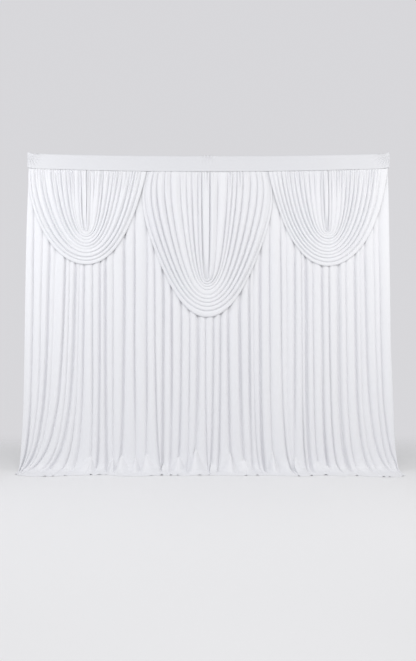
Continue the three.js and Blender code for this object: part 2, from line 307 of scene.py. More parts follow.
# Rows of the curtain's mesh: down to a distance below the seam, in this many steps
CURTAIN_ROWS = table(("down", "steps"), (0.25, 13), (0.90, 10), (2.15, 15), (2.36, 12), (math.inf, 40))
# Columns of the curtain's mesh: the side edges that they run between, their usual width, and the fewest
# and the most in one fold
COLUMN_EDGES = (-1.52, 1.51)
COLUMN_WIDTH = 0.0062
COLUMNS_LEAST = 7
COLUMNS_MOST = 14
# Least width of a fold, least reach of a crease, and the roundness of its slope
FOLD_LEAST = 0.012
REACH_LEAST = 0.005
SLOPE_ROUND = 0.8
# Step by which the slope of the hanging line is felt
TURN_STEP = 0.004
# Stretch below the seam in which the rows follow its bow, and stretch in which the hem lifts
BOW_DOWN = 0.6
LIFT_LENGTH = 0.075
# How far forward the cloth lies where it begins to spread to its hem, and the distance that this takes
SPREAD = {"forward": 0.020, "over": 0.12}
# Face of the cloth over the floor, with room for its thickness below it
FLOOR_GAP = 0.0016
# Hem on the floor: how far forward it lies, at places across the width
HEM = table(
    ("x", "forward"),
    (-1.575, 0.170),
    (-1.460, 0.250),
    (-1.360, 0.272),
    (-1.250, 0.262),
    (-1.120, 0.232),
    (-0.940, 0.207),
    (-0.800, 0.210),
    (-0.700, 0.252),
    (-0.540, 0.258),
    (-0.400, 0.226),
    (-0.250, 0.226),
    (-0.190, 0.245),
    (-0.070, 0.218),
    (0.050, 0.222),
    (0.260, 0.236),
    (0.440, 0.222),
    (0.740, 0.258),
    (0.930, 0.218),
    (1.080, 0.250),
    (1.180, 0.240),
    (1.280, 0.270),
    (1.400, 0.292),
    (1.500, 0.290),
    (1.560, 0.245),
    (1.590, 0.190),
)
# Places where the hem stands off the floor
HEM_LIFTS = table(
    ("x", "width", "rise"),
    (-1.546, 0.026, 0.0058),
    (-1.300, 0.054, 0.0065),
    (-1.235, 0.031, 0.0058),
    (-1.145, 0.026, 0.0058),
    (-0.944, 0.023, 0.0094),
    (-0.875, 0.032, 0.0080),
    (-0.820, 0.018, 0.0050),
    (-0.462, 0.023, 0.0072),
    (-0.373, 0.031, 0.0100),
    (-0.301, 0.022, 0.0094),
    (-0.245, 0.020, 0.0086),
    (-0.068, 0.023, 0.0072),
    (0.004, 0.022, 0.0058),
    (0.301, 0.025, 0.0072),
    (0.390, 0.026, 0.0086),
    (0.719, 0.023, 0.0072),
    (0.823, 0.025, 0.0094),
    (0.940, 0.040, 0.0086),
    (1.185, 0.026, 0.0072),
    (1.386, 0.026, 0.0086),
    (1.434, 0.022, 0.0072),
    (1.546, 0.026, 0.0058),
)

# Swag tables
# A row for each crease from the middle outwards, the last row being the hem. Left and right are where
# it leaves the seam, drop is where it crosses the middle, depth is the relief of the next fold, low is
# the share of that relief left at the middle, and fill is how much the crease fades out below the seam
FOLD_COLUMNS = ("left", "right", "drop", "depth", "low", "fill")
# Middle is the place of the heart and relief the greatest height of a fold. Seat is where the seam lies
# from front to back, lead how far the cloth comes forward out of it, and stand how far it stands forward
# lower down. Round is how far the creases are rounded rather than hanging like a chain: near the heart,
# half-way out and at the hem. Swell is how far the outer creases widen, tuck the share by which the
# ends lie back, and settle how far below the seam the hem begins to lie on the curtain
SWAGS = {
    "swag_left": {
        "middle": -1.009,
        "relief": 0.026,
        "seat": -0.007,
        "lead": 0.0065,
        "stand": 0.025,
        "round": {"left": (1.0, 0.3, 1.0), "right": (1.0, 0.35, 0.05)},
        "swell": {"left": 0.03, "right": 0.0},
        "tuck": 0.0,
        "settle": {"left": 0.04, "right": 0.24},
        "folds": table(
            FOLD_COLUMNS,
            (0.040, 0.003, 0.508, 1.1, 1.0, 0.0),
            (0.063, 0.035, 0.518, 0.8, 0.6, 0.5),
            (0.105, 0.063, 0.530, 0.9, 0.5, 0.8),
            (0.138, 0.116, 0.544, 0.8, 0.6, 0.5),
            (0.171, 0.141, 0.562, 1.0, 0.4, 0.0),
            (0.216, 0.191, 0.590, 0.8, 0.4, 0.3),
            (0.258, 0.224, 0.618, 1.1, 0.5, 0.0),
            (0.295, 0.263, 0.646, 0.9, 0.3, 0.4),
            (0.349, 0.302, 0.668, 1.0, 0.3, 0.3),
            (0.376, 0.366, 0.696, 0.9, 0.6, 0.0),
            (0.424, 0.405, 0.733, 1.0, 0.5, 0.0),
            (0.458, 0.457, 0.761, 0.5, 0.8, 0.2),
            (0.478, 0.500, 0.794, 0.0, 1.0, 0.0),
        ),
    },
    "swag_centre": {
        "middle": -0.010,
        "relief": 0.030,
        "seat": -0.0005,
        "lead": 0.0126,
        "stand": 0.031,
        "round": {"left": (1.0, 0.4, 0.75), "right": (1.0, 0.25, 0.75)},
        "swell": {"left": 0.13, "right": 0.12},
        "tuck": 0.5,
        "settle": {"left": 0.04, "right": 0.04},
        "folds": table(
            FOLD_COLUMNS,
            (0.046, 0.021, 0.905, 1.2, 1.0, 0.0),
            (0.079, 0.088, 0.922, 0.9, 0.6, 0.4),
            (0.129, 0.172, 0.943, 1.0, 0.5, 0.0),
            (0.174, 0.209, 0.966, 0.8, 0.4, 0.3),
            (0.224, 0.246, 0.993, 1.0, 0.3, 0.0),
            (0.299, 0.294, 1.036, 1.0, 0.4, 0.0),
            (0.345, 0.349, 1.067, 1.1, 0.4, 0.0),
            (0.399, 0.399, 1.098, 1.0, 0.4, 0.0),
            (0.436, 0.440, 1.130, 1.1, 0.4, 0.0),
            (0.476, 0.486, 1.166, 0.5, 0.8, 0.0),
            (0.494, 0.500, 1.218, 0.0, 1.0, 0.0),
        ),
    },
    "swag_right": {
        "middle": 0.987,
        "relief": 0.026,
        "seat": -0.007,
        "lead": 0.0065,
        "stand": 0.025,
        "round": {"left": (1.0, 0.7, 0.05), "right": (1.0, 0.8, 0.6)},
        "swell": {"left": 0.0, "right": 0.0},
        "tuck": 0.0,
        "settle": {"left": 0.24, "right": 0.04},
        "folds": table(
            FOLD_COLUMNS,
            (0.036, 0.004, 0.515, 1.1, 1.0, 0.0),
            (0.062, 0.029, 0.526, 0.9, 0.6, 0.5),
            (0.112, 0.071, 0.540, 0.8, 0.5, 0.6),
            (0.154, 0.116, 0.558, 0.9, 0.6, 0.4),
            (0.199, 0.154, 0.580, 1.0, 0.3, 0.0),
            (0.237, 0.186, 0.604, 0.9, 0.5, 0.2),
            (0.278, 0.224, 0.632, 1.1, 0.3, 0.0),
            (0.316, 0.258, 0.660, 0.8, 0.5, 0.3),
            (0.353, 0.300, 0.688, 1.0, 0.4, 0.0),
            (0.386, 0.345, 0.714, 1.0, 0.5, 0.1),
            (0.424, 0.384, 0.740, 0.9, 0.5, 0.0),
            (0.461, 0.440, 0.774, 0.5, 0.8, 0.0),
            (0.494, 0.502, 0.806, 0.0, 1.0, 0.0),
        ),
    },
}
# Swag's mesh: steps from the middle to either end, rows in each fold and rows in the heart
SWAG_STEPS = 70
FOLD_STEPS = 12
HEART_STEPS = 24
# Top of the heart, where the cloth starts
HEART = {"left": 0.0006, "right": 0.0006, "drop": 0.004}
# Distance below the seam at which the cloth comes out from under the heading's lip
LIP_BELOW = 0.0106
# Relief and stand-off of a swag by the distance below its seam, as shares
SWAG_FALL = table(
    ("below", "relief", "stand"),
    (0.000, 0.02, 0.00),
    (LIP_BELOW, 0.02, 0.00),
    (0.0128, 0.30, 0.10),
    (0.0165, 0.44, 0.12),
    (0.032, 0.58, 0.13),
    (0.070, 0.74, 0.16),
    (0.150, 0.90, 0.26),
    (0.300, 1.00, 0.52),
    (0.600, 1.00, 0.78),
    (0.900, 1.00, 0.92),
    (1.300, 1.00, 1.00),
)
# Distance below the seam at which a swag has come forward by its whole lead
LEAD_BELOW = 0.0095
# Ends that lie back: how far above the seam and over what distance this starts, how far below it begins
# to end and over what distance, and the shares outwards from which it starts and is whole
TUCK = {"above": 0.010, "start": 0.050, "below": 0.330, "fade": 0.300, "from": 0.86, "whole": 0.97}
# Gathers below the lip: the distances over which they start and fade, and the share outwards from
# which they end before the hem and the share that this takes
SEWN = {"start": 0.008, "fade": 0.34, "out": 0.86, "out_fade": 0.08}
# Their pitch, how far and how often they stray, the span of their height, how much of it lies below the
# fold and how sharp they are, and the most that the height changes and how often, along and down
SWAG_GATHERS = {"pitch": 0.024, "stray": 1.5, "along": 9, "span": 1.7, "low": 0.9, "sharp": 0.6}
GATHER_CHANGE = {"most": 0.6, "along": 40, "down": 3}
# Short creases that split the folds below the lip: depth, width and stray as shares of the fold, usual
# strength and its change, and steps in the noise from fold to fold, side to side and to the stray
SPLIT = {"depth": 0.016, "width": 0.12, "stray": 0.12, "usual": 0.65, "change": 0.9}
SPLIT_NOISE = {"fold": 7.3, "side": 3.1, "stray": 5}
# Tip of the heart: how deep it sinks, over what length, up to which share of the height and how fast it
# ends there, and the place of the ridge below it
TIP = {"depth": 0.013, "length": 0.14, "rise": 0.16, "fade": 0.12, "ridge": 0.3}
# Sharpness of the ridges, and of the heart's edge
RIDGE_SHARP = 0.7
HEART_EDGE = 6
# Squareness of the rounded creases at the heart and further out, and the share outwards that this takes
BOWL = {"heart": 3.6, "outer": 2.0, "outward": 0.5}
# Share outwards at which the creases have their half-way roundness
ROUND_OUTWARD = 0.3
# Scale that makes the widest place of a swell its whole size
SWELL_SCALE = 9.48
# Share of the height at which creases begin to fade out, and how much of the height that takes
FILL = {"rise": 0.85, "over": 0.45}
# Unevenness of the folds: steps in the noise from fold to fold, and features from the middle to an end
FOLD_NOISE = {"fold": 4.1, "along": 2.4}
# How closely a fold keeps its lower relief to the middle
LOW_POWER = 6
# Hem's fold line: its depth, and its place and width as shares of the last fold
HEM_LINE = {"depth": 0.0022, "place": 0.55, "width": 0.07}
# Places beside a point of the hem where the curtain behind it is felt, where the rays for it start in
# front of the cloth, and how far before the curtain the hem rests
HEM_PROBES = (-0.020, -0.010, 0.0, 0.010, 0.020)
PROBE_START = -1.0
HEM_REST = 0.0025
# Distance over which the hem comes to rest, steps on either side over which it is evened out, and how
# strongly the rest of the swag follows it
SETTLE_OVER = 0.12
SETTLE_STEPS = 3
SETTLE_POWER = 4
# Share by which a swag's hem presses the curtain's creases shut, and how near it does so
HEM_PRESS = 0.68
HEM_NEAR = 0.045
# Half-spans between which that of a hanging chain is sought, and how often this range is halved
CHAIN_SPANS = (0.01, 12.0)
CHAIN_HALVINGS = 50
# Places in the noise: of the first swag, and from one swag to the next
FIRST_SEED = 50.0
SEED_STEP = 10


# Settings that a user would change
class HeadingSettings(PropertyGroup):
    """The rod-pocket band along the top."""

    thickness: FloatProperty(
        name="Cloth",
        description="Thickness of the heading's cloth",
        default=0.0014,
        min=0.0005,
        max=0.004,
        unit="LENGTH",
    )
    wrinkle: FloatProperty(
        name="Corner wrinkles",
        description="Height of the wrinkles that fan out from the top corners",
        default=0.0045,
        min=0.0,
        max=0.01,
        unit="LENGTH",
    )
    pucker: FloatProperty(
        name="Seam puckers",
        description="Height of the small puckers along the lower seam",
        default=0.0008,
        min=0.0,
        max=0.005,
        unit="LENGTH",
    )


class CurtainSettings(PropertyGroup):
    """The gathered curtain."""

    thickness: FloatProperty(
        name="Cloth",
        description="Thickness of the curtain's cloth",
        default=0.0011,
        min=0.0005,
        max=0.003,
        unit="LENGTH",
    )
    depth: FloatProperty(
        name="Crease depth",
        description="Depth of the open part of the creases, as a share of the folds' whole depth",
        default=0.46,
        min=0.0,
        max=1.0,
        subtype="FACTOR",
    )
    foot_depth: FloatProperty(
        name="Foot depth",
        description="Open depth of the creases just above the floor, as a share of the folds' whole depth",
        default=0.50,
        min=0.0,
        max=1.2,
        subtype="FACTOR",
    )
    reach: FloatProperty(
        name="Crease reach",
        description="How far a crease's slope runs into the fold beside it",
        default=0.012,
        min=0.004,
        max=0.06,
        unit="LENGTH",
    )
    flat: FloatProperty(
        name="Crease width",
        description="Half the width of a usual crease's bottom, as a share of its depth",
        default=0.08,
        min=0.0,
        max=0.3,
        subtype="FACTOR",
    )
    bulge: FloatProperty(
        name="Crest bulge",
        description="Rise of a fold's crest, as a share of its width",
        default=0.13,
        min=0.0,
        max=0.3,
        subtype="FACTOR",
    )
    tilt: FloatProperty(
        name="Fold tilt",
        description="How much the faces of the folds turn to one side or the other",
        default=0.32,
        min=0.0,
        max=0.4,
        subtype="FACTOR",
    )
    wander: FloatProperty(
        name="Crease wander",
        description="How far a crease strays from its line",
        default=0.004,
        min=0.0,
        max=0.02,
        unit="LENGTH",
    )
    gather: FloatProperty(
        name="Gathers",
        description="Depth of the small gathers under the heading",
        default=0.003,
        min=0.0,
        max=0.006,
        unit="LENGTH",
    )


class SwagSettings(PropertyGroup):
    """The three swags."""

    thickness: FloatProperty(
        name="Cloth",
        description="Thickness of the swags' cloth",
        default=0.0011,
        min=0.0005,
        max=0.003,
        unit="LENGTH",
    )
    ridge_place: FloatProperty(
        name="Ridge place",
        description="Place of a ridge between two creases, so that it hangs over the lower one",
        default=0.58,
        min=0.4,
        max=0.75,
        subtype="FACTOR",
    )
    droop: FloatProperty(
        name="Droop",
        description="How far a ridge hangs over the crease below it",
        default=0.006,
        min=0.0,
        max=0.015,
        unit="LENGTH",
    )
    fullness: FloatProperty(
        name="Fullness",
        description="Greatest height of a fold, as a share of the distance between its creases",
        default=0.74,
        min=0.1,
        max=1.2,
        subtype="FACTOR",
    )
    gather: FloatProperty(
        name="Gathers",
        description="Height of the small gathers under the heading",
        default=0.0045,
        min=0.0,
        max=0.008,
        unit="LENGTH",
    )
    unevenness: FloatProperty(
        name="Unevenness",
        description="How much the depth of a fold changes along its length",
        default=0.24,
        min=0.0,
        max=0.6,
        subtype="FACTOR",
    )


class ClothSettings(PropertyGroup):
    """The white knitted cloth."""

    # Painted shade: the heading is the same white cloth as the curtain and swags, its colour made darker
    # for the dimmer light at the band
    heading_shaded_colour: FloatVectorProperty(
        name="Heading",
        description="Colour of the heading's cloth",
        default=(0.700, 0.702, 0.719),
        min=0.0,
        max=1.0,
        subtype="COLOR",
    )
    curtain_colour: FloatVectorProperty(
        name="Curtain",
        description="Colour of the curtain's cloth",
        default=(0.80, 0.802, 0.819),
        min=0.0,
        max=1.0,
        subtype="COLOR",
    )
    swag_colour: FloatVectorProperty(
        name="Swags",
        description="Colour of the swags' cloth",
        default=(0.80, 0.802, 0.819),
        min=0.0,
        max=1.0,
        subtype="COLOR",
    )
    knit_pitch: FloatProperty(
        name="Knit pitch",
        description="Distance between two rows of loops in the knit",
        default=0.0012,
        min=0.0005,
        max=0.004,
        unit="LENGTH",
    )
    sheen: FloatProperty(
        name="Sheen",
        description="Strength of the cloth's soft sheen",
        default=0.12,
        min=0.0,
        max=1.0,
        subtype="FACTOR",
    )


class StageSettings(PropertyGroup):
    """Floor, light and camera."""

    camera_distance: FloatProperty(
        name="Camera distance",
        description="From the camera to the middle of the heading, front to back",
        default=6.0,
        min=2.0,
        max=20.0,
        unit="LENGTH",
    )
    camera_height: FloatProperty(
        name="Camera height",
        description="From the floor to the camera",
        default=1.16,
        min=0.2,
        max=4.0,
        unit="LENGTH",
    )
    lens: FloatProperty(
        name="Lens",
        description="Focal length of the camera",
        default=39.32,
        min=15.0,
        max=120.0,
        subtype="DISTANCE_CAMERA",
    )
    floor_colour: FloatVectorProperty(
        name="Floor",
        description="Colour of the floor",
        default=(0.815, 0.815, 0.823),
        min=0.0,
        max=1.0,
        subtype="COLOR",
    )
    air_colour: FloatVectorProperty(
        name="Surroundings",
        description="Colour of the space behind the floor",
        default=(0.685, 0.682, 0.705),
        min=0.0,
        max=1.0,
        subtype="COLOR",
    )
    fill_colour: FloatVectorProperty(
        name="Fill",
        description="Colour of the soft light from all round",
        default=(0.56, 0.56, 0.568),
        min=0.0,
        max=1.0,
        subtype="COLOR",
    )
    left_power: FloatProperty(
        name="Left light",
        description="Power of the large soft light on the left",
        default=33.0,
        min=0.0,
        max=2000.0,
        unit="POWER",
    )
    right_power: FloatProperty(
        name="Right light",
        description="Power of the large soft light on the right",
        default=27.5,
        min=0.0,
        max=2000.0,
        unit="POWER",
    )
    top_power: FloatProperty(
        name="Top light",
        description="Power of the large soft light overhead",
        default=166.0,
        min=0.0,
        max=2000.0,
        unit="POWER",
    )


class DraperySettings(PropertyGroup):
    """All settings of the backdrop."""

    heading: PointerProperty(type=HeadingSettings)
    curtain: PointerProperty(type=CurtainSettings)
    swag: PointerProperty(type=SwagSettings)
    cloth: PointerProperty(type=ClothSettings)
    stage: PointerProperty(type=StageSettings)


# Materials
# Noise stretched along the cloth: features a metre across it and along it, and detail
STREAKS = {
    "crinkle": {"across": 95.0, "along": 5.0, "detail": 3.0},
    "uneven": {"across": 9.0, "along": 1.6, "detail": 2.0},
    "tint": {"across": 2.2, "along": 0.7, "detail": 2.0},
}
# Heights of the knit's loops, of the soft unevenness and of the crinkles of each cloth
LOOP_HEIGHT = 0.00006
UNEVEN_HEIGHT = 0.0022
HEADING_CRINKLE = 0.0003
CURTAIN_CRINKLE = 0.0004
SWAG_CRINKLE = 0.0004
# Loops of the knit: how closely courses follow each other beside wales, and their shares of the height
COURSE_PITCH = 0.8
WALE_SHARE = 0.7
COURSE_SHARE = 0.3
# Least roughness and its change with the crinkles
ROUGHNESS = 0.72
ROUGHNESS_CHANGE = 0.16
# Share of the darker colour: at the least, with the loops' height, which paints shade into the hollows
# between the loops, and with the random tint
SHADE_LEAST = 0.1
LOOP_PAINTED_SHADE = -0.12
SHADE_TINT = 0.7
# Darker colours as shares of a colour: the cloth's for its random tint and for painted shade between the
# knit's loops, the floor's for its random mottling
CLOTH_TINT_AND_SHADE = (0.955, 0.96, 0.98)
FLOOR_SHADE = (0.985, 0.985, 0.985)
# Sockets of the knitted cloth's node group
KNIT_SOCKETS = table(
    ("name", "way", "kind"),
    ("Cut", "INPUT", "NodeSocketVector"),
    ("Colour", "INPUT", "NodeSocketColor"),
    ("Shade", "INPUT", "NodeSocketColor"),
    ("Pitch", "INPUT", "NodeSocketFloat"),
    ("Crinkle", "INPUT", "NodeSocketFloat"),
    ("Colour", "OUTPUT", "NodeSocketColor"),
    ("Roughness", "OUTPUT", "NodeSocketFloat"),
    ("Height", "OUTPUT", "NodeSocketFloat"),
)
# Sockets of a Mix node that hold its colours
MIX_FACTOR = 0
MIX_FIRST = 6
MIX_SECOND = 7
MIX_RESULT = 2


def shaded(colour, shade):
    """A colour darkened by its own share for red, green and blue, with full alpha."""
    return (*(part * share for part, share in zip(colour, shade)), 1.0)


def add_node(tree, kind, **values):
    """A node with its settings, and with input sockets set by name."""
    node = tree.nodes.new(kind)
    for name, value in values.items():
        if hasattr(node, name):
            setattr(node, name, value)
        else:
            node.inputs[name.replace("_", " ")].default_value = value
    return node


def arithmetic(tree, operation, *terms):
    """The output of a Math node whose terms are numbers or other outputs."""
    node = tree.nodes.new("ShaderNodeMath")
    node.operation = operation
    for socket, term in zip(node.inputs, terms):
        if isinstance(term, (int, float)):
            socket.default_value = term
        else:
            tree.links.new(term, socket)
    return node.outputs[0]


def mixed_colour(tree, factor, first, second):
    """The output of a Mix node between two colours, which are values or other outputs."""
    node = add_node(tree, "ShaderNodeMix", data_type="RGBA")
    tree.links.new(factor, node.inputs[MIX_FACTOR])
    for place, colour in ((MIX_FIRST, first), (MIX_SECOND, second)):
        if isinstance(colour, tuple):
            node.inputs[place].default_value = colour
        else:
            tree.links.new(colour, node.inputs[place])
    return node.outputs[MIX_RESULT]


def streaks(tree, cut, kind):
    """One kind of noise stretched along the cloth."""
    layer = STREAKS[kind]
    stretch = add_node(tree, "ShaderNodeMapping")
    stretch.inputs["Scale"].default_value = (layer["across"], layer["along"], 1.0)
    tree.links.new(cut, stretch.inputs["Vector"])
    cloud = add_node(tree, "ShaderNodeTexNoise", Scale=1.0, Detail=layer["detail"], Roughness=0.55)
    tree.links.new(stretch.outputs[0], cloud.inputs["Vector"])
    return cloud.outputs["Fac"]


def knit_group():
    """Knitted cloth by its cut in metres: loops, crinkles, soft unevenness, a faint change of tint and
    painted shade in the hollows between the loops.
    """
    known = bpy.data.node_groups.get("Knitted cloth")
    if known:
        return known
    tree = bpy.data.node_groups.new("Knitted cloth", "ShaderNodeTree")
    for socket in KNIT_SOCKETS:
        tree.interface.new_socket(socket["name"], in_out=socket["way"], socket_type=socket["kind"])
    given = add_node(tree, "NodeGroupInput")
    result = add_node(tree, "NodeGroupOutput")
    cut = given.outputs["Cut"]
    axes = add_node(tree, "ShaderNodeSeparateXYZ")
    tree.links.new(cut, axes.inputs[0])
    turn = arithmetic(tree, "DIVIDE", 2 * math.pi, given.outputs["Pitch"])
    wale = arithmetic(tree, "SINE", arithmetic(tree, "MULTIPLY", axes.outputs["X"], turn))
    course_turn = arithmetic(tree, "MULTIPLY", turn, COURSE_PITCH)
    course = arithmetic(tree, "SINE", arithmetic(tree, "MULTIPLY", axes.outputs["Y"], course_turn))
    courses = arithmetic(tree, "MULTIPLY", course, COURSE_SHARE)
    loops = arithmetic(tree, "MULTIPLY_ADD", wale, WALE_SHARE, courses)
    crinkle = streaks(tree, cut, "crinkle")
    uneven = streaks(tree, cut, "uneven")
    tint = streaks(tree, cut, "tint")
    height = arithmetic(tree, "MULTIPLY", loops, LOOP_HEIGHT)
    crinkled = arithmetic(tree, "MULTIPLY", crinkle, given.outputs["Crinkle"])
    height = arithmetic(tree, "ADD", height, crinkled)
    height = arithmetic(tree, "ADD", height, arithmetic(tree, "MULTIPLY", uneven, UNEVEN_HEIGHT))
    tree.links.new(height, result.inputs["Height"])
    rough = arithmetic(tree, "MULTIPLY_ADD", crinkle, ROUGHNESS_CHANGE, ROUGHNESS)
    tree.links.new(rough, result.inputs["Roughness"])
    # Painted shade: the colour darkens where the knit's loops are low
    loop_painted_shade = arithmetic(tree, "MULTIPLY_ADD", loops, LOOP_PAINTED_SHADE, SHADE_LEAST)
    tint_share = arithmetic(tree, "MULTIPLY_ADD", tint, SHADE_TINT, loop_painted_shade)
    tinted = mixed_colour(tree, tint_share, given.outputs["Colour"], given.outputs["Shade"])
    tree.links.new(tinted, result.inputs["Colour"])
    return tree


def cloth_material(name, colour, crinkle):
    """White knitted polyester, matte with a soft sheen."""
    cloth = bpy.context.scene.drapery.cloth
    material = bpy.data.materials.new(name)
    material.use_nodes = True
    tree = material.node_tree
    principled = tree.nodes["Principled BSDF"]
    principled.inputs["Sheen Weight"].default_value = cloth.sheen
    principled.inputs["Sheen Roughness"].default_value = 0.5
    principled.inputs["Specular IOR Level"].default_value = 0.25
    cut = add_node(tree, "ShaderNodeUVMap", uv_map="cut")
    knit = add_node(tree, "ShaderNodeGroup")
    knit.node_tree = knit_group()
    tree.links.new(cut.outputs["UV"], knit.inputs["Cut"])
    knit.inputs["Colour"].default_value = (*colour, 1.0)
    # The darker colour serves both the random tint and the painted shade between the loops
    knit.inputs["Shade"].default_value = shaded(colour, CLOTH_TINT_AND_SHADE)
    knit.inputs["Pitch"].default_value = cloth.knit_pitch
    knit.inputs["Crinkle"].default_value = crinkle
    bump = add_node(tree, "ShaderNodeBump", Strength=1.0, Distance=1.0)
    tree.links.new(knit.outputs["Height"], bump.inputs["Height"])
    tree.links.new(knit.outputs["Colour"], principled.inputs["Base Color"])
    tree.links.new(knit.outputs["Roughness"], principled.inputs["Roughness"])
    tree.links.new(bump.outputs["Normal"], principled.inputs["Normal"])
    return material


# Meshes
def finished_object(name, mesh, material):
    """An object at the origin for a finished mesh, smooth-shaded."""
    data = bpy.data.meshes.new(name)
    for face in mesh.faces:
        face.smooth = True
    mesh.to_mesh(data)
    mesh.free()
    data.materials.append(material)
    piece = bpy.data.objects.new(name, data)
    bpy.context.scene.collection.objects.link(piece)
    return piece


def lay_cloth(mesh, points, cut):
    """Adds a grid of cloth with points in rows from the top edge, and its cut as UV in metres."""
    rows = len(points) - 1
    columns = len(points[0]) - 1
    made = bmesh.ops.create_grid(mesh, x_segments=columns, y_segments=rows, size=0.5)
    uv = mesh.loops.layers.uv.get("cut") or mesh.loops.layers.uv.new("cut")
    places = {}
    for vert in made["verts"]:
        place = (round((0.5 - vert.co.y) * rows), round((vert.co.x + 0.5) * columns))
        places[vert] = place
    for vert, (row, col) in places.items():
        for loop in vert.link_loops:
            loop[uv].uv = cut[row][col]
        vert.co = points[row][col]


def lengths_along(points):
    """Distance from the first point to each point of a line."""
    lengths = [0.0]
    for here, there in zip(points, points[1:]):
        lengths.append(lengths[-1] + (there - here).length)
    return lengths


def thicken(piece, thickness):
    """Gives a cloth its thickness, behind its face."""
    solid = piece.modifiers.new("Cloth", "SOLIDIFY")
    solid.thickness = thickness
    solid.offset = -1.0


# Heading
def heading_wrinkles(x, drop, above, seed):
    """Height of the heading's wrinkles: drop is below the top edge, above is over the lower edge."""
    settings = bpy.context.scene.drapery.heading
    relief = 0.0
    for layer in HEADING_NOISE:
        relief += layer["height"] * waver(layer["along"] * x, layer["down"] * drop, layer["seed"] + seed)
    sunk = HOLLOW["depth"] * ease((drop - HOLLOW["drop"]) / HOLLOW["drop"])
    relief -= sunk * ease((above - HOLLOW["above"]) / (2 * HOLLOW["above"]))
    relief += BEAD["height"] * ease(1 - abs(above - BEAD["above"]) / BEAD["half"])
    puckers = 0.0
    for layer in SEAM_PUCKERS:
        puckers += layer["share"] * waver(layer["along"] * x, layer["seed"] + seed)
    relief += settings.pucker * math.exp(-above / PUCKER_FADE) * puckers
    inward = HALF_WIDTH - abs(x)
    turn = math.atan2(drop, inward + FAN["past"])
    spread = bell(math.hypot(inward, drop) - FAN["away"], FAN["width"])
    stray = FAN["stray"] * waver(FAN["along"] * x, seed)
    relief += settings.wrinkle * spread * math.sin(FAN["close"] * turn + stray)
    aside = x - MIDDLE["x"]
    crumpled = bell(aside, MIDDLE["width"]) * bell(drop, MIDDLE["width"])
    ripple = math.cos(2 * math.pi * aside / MIDDLE["pitch"])
    relief += crumpled * (MIDDLE["rise"] + MIDDLE["pucker"] * ripple)
    return relief


def heading_place(x, share):
    """Point on the heading's outside, by a share of the way from the back over the pole to the front."""
    low = heading_low(x)
    crown = heading_top(x) - POLE_RADIUS
    wall = crown - low
    arc = math.pi * POLE_RADIUS
    down = share * (2 * wall + arc)
    seed = 0.0
    if down < wall:
        point = Vector((x, POLE_RADIUS, low + down))
        out = Vector((0, 1, 0))
        drop = wall - down + arc / 2
        seed = BACK_SEED
    elif down < wall + arc:
        angle = (down - wall) / POLE_RADIUS
        out = Vector((0, math.cos(angle), math.sin(angle)))
        point = Vector((x, 0, crown)) + POLE_RADIUS * out
        drop = abs(down - wall - arc / 2)
    else:
        point = Vector((x, -POLE_RADIUS, crown - (down - wall - arc)))
        out = Vector((0, -1, 0))
        drop = down - wall - arc / 2
    return point + heading_wrinkles(x, drop, point.z - low, seed) * out


def across_heading(columns):
    """Places from the heading's left end to its right end, in even steps."""
    return [mix(-HALF_WIDTH, HALF_WIDTH, col / columns) for col in range(columns + 1)]


def make_heading():
    """The folded band, with the web that closes the pocket above the gathered tops."""
    settings = bpy.context.scene.drapery
    mesh = bmesh.new()
    places = across_heading(HEADING_COLUMNS)
    points = []
    cut = []
    for row in range(HEADING_ROWS + 1):
        even = row / HEADING_ROWS
        # Rows lie closer together at the lips
        share = even - 0.5 * math.sin(2 * math.pi * even) / (2 * math.pi)
        points.append([heading_place(x, share) for x in places])
        cut.append([(x, HEADING_CUT * (1 - share)) for x in places])
    lay_cloth(mesh, points, cut)
    places = across_heading(WEB_COLUMNS)
    points = []
    cut = []
    for y in (WEB_HALF, 0.0, -WEB_HALF):
        points.append([Vector((x, y, slot_top(x) + WEB_RISE)) for x in places])
        cut.append([(x, WEB_CUT + y) for x in places])
    lay_cloth(mesh, points, cut)
    # The heading's darker colour is painted shade
    material = cloth_material("Heading cloth", settings.cloth.heading_shaded_colour, HEADING_CRINKLE)
    piece = finished_object("heading_band", mesh, material)
    thicken(piece, settings.heading.thickness)
    return piece


# Curtain
def curtain_hang():
    """Curves of the hanging table by the distance down the cloth, and the whole length."""
    downs = [0.0]
    for above, below in zip(HANG, HANG[1:]):
        step = math.hypot(above["height"] - below["height"], below["forward"] - above["forward"])
        downs.append(downs[-1] + step)
    rows = [{"down": down, **row} for down, row in zip(downs, HANG)]
    return smooth_columns(rows, "down"), downs[-1]


def row_downs(length):
    """Distances down the cloth at which the curtain has a row of points."""
    downs = [0.0]
    for stretch in CURTAIN_ROWS:
        start = downs[-1]
        end = min(stretch["down"], length)
        for step in range(stretch["steps"]):
            downs.append(mix(start, end, (step + 1) / stretch["steps"]))
    return downs


def hem_lift(x):
    """How far the hem stands off the floor."""
    rise = 0.0
    for lift in HEM_LIFTS:
        away = (x - lift["x"]) / (lift["width"] / 2)
        if abs(away) < 1:
            rise = max(rise, lift["rise"] * (1 - away * away) ** 2)
    return rise


def hem_places():
    """Places along the hems of the swags, for finding the nearest one."""
    steps = range(-SWAG_STEPS, SWAG_STEPS + 1)
    places = KDTree(len(SWAGS) * len(steps))
    for i, swag in enumerate(SWAGS.values()):
        for k, step in enumerate(steps):
            place = swag_place(swag, swag["folds"][-1], step)
            places.insert((place["x"], 0.0, place["z"]), i * len(steps) + k)
    places.balance()
    return places


def curtain_noise(kind, across, down):
    """Noise of one kind on the curtain, from about -1 to 1."""
    layer = CURTAIN_NOISE[kind]
    return waver(layer["across"] * across, layer["down"] * down, layer["seed"])


